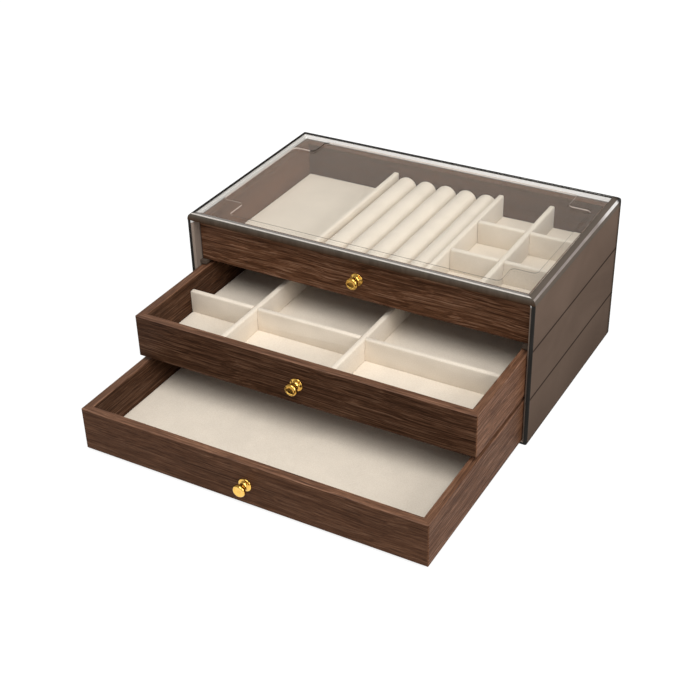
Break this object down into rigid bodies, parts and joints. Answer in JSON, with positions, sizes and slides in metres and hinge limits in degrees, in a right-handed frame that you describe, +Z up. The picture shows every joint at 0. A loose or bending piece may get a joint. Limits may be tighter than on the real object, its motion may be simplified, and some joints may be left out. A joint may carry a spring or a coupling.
{
  "type": "jewellery box with drawers",
  "caption": "Countertop jewellery box: a tinted acrylic case with a clear top and shallow walnut drawers that slide out, lined in cream velvet with ring rolls and divided compartments.",
  "frame": {"origin": "middle of the case's flat underside, on the surface it stands on", "axes": "+X across the box to the right as seen from the front, +Y from the open front to the back, +Z up; drawers pull out along -Y"},
  "size_m": [0.303, 0.3551, 0.131],
  "materials": {
    "smoke_acrylic": "polished brown-grey tinted acrylic",
    "clear_acrylic": "polished clear acrylic",
    "walnut": "satin dark walnut, fine straight grain",
    "velvet": "short cream velvet",
    "brass": "polished warm brass",
    "zinc_steel": "zinc-plated steel"
  },
  "bodies": {
    "case": {"case_body": "smoke_acrylic", "top_left_rail": "smoke_acrylic", "top_right_rail": "smoke_acrylic", "middle_left_rail": "smoke_acrylic", "middle_right_rail": "smoke_acrylic", "top_cover": "clear_acrylic"},
    "top_drawer": {"top_drawer_front": "walnut", "top_drawer_back": "walnut", "top_drawer_left_side": "walnut", "top_drawer_right_side": "walnut", "top_drawer_bottom": "walnut", "top_drawer_pad": "velvet", "top_drawer_knob": "brass", "top_drawer_knob_screw": "zinc_steel", "top_drawer_left_partition": "velvet", "top_drawer_right_partition": "velvet", "top_drawer_grid_divider": "velvet", "top_drawer_cross_divider_1": "velvet", "top_drawer_cross_divider_2": "velvet", "top_drawer_ring_roll_1": "velvet", "top_drawer_ring_roll_2": "velvet", "top_drawer_ring_roll_3": "velvet", "top_drawer_ring_roll_4": "velvet", "top_drawer_ring_roll_5": "velvet"},
    "middle_drawer": {"middle_drawer_front": "walnut", "middle_drawer_back": "walnut", "middle_drawer_left_side": "walnut", "middle_drawer_right_side": "walnut", "middle_drawer_bottom": "walnut", "middle_drawer_pad": "velvet", "middle_drawer_knob": "brass", "middle_drawer_knob_screw": "zinc_steel", "middle_drawer_left_divider": "velvet", "middle_drawer_right_divider": "velvet", "middle_drawer_cross_divider": "velvet"},
    "bottom_drawer": {"bottom_drawer_front": "walnut", "bottom_drawer_back": "walnut", "bottom_drawer_left_side": "walnut", "bottom_drawer_right_side": "walnut", "bottom_drawer_bottom": "walnut", "bottom_drawer_pad": "velvet", "bottom_drawer_knob": "brass", "bottom_drawer_knob_screw": "zinc_steel"}
  },
  "joints": [
    {"name": "top_drawer_slide", "type": "slide", "parent": "case", "child": "top_drawer", "axis": [0, -1, 0], "range_m": [0, 0.1695]},
    {"name": "middle_drawer_slide", "type": "slide", "parent": "case", "child": "middle_drawer", "axis": [0, -1, 0], "range_m": [-0.0945, 0.075]},
    {"name": "bottom_drawer_slide", "type": "slide", "parent": "case", "child": "bottom_drawer", "axis": [0, -1, 0], "range_m": [-0.1695, 0]}
  ]
}
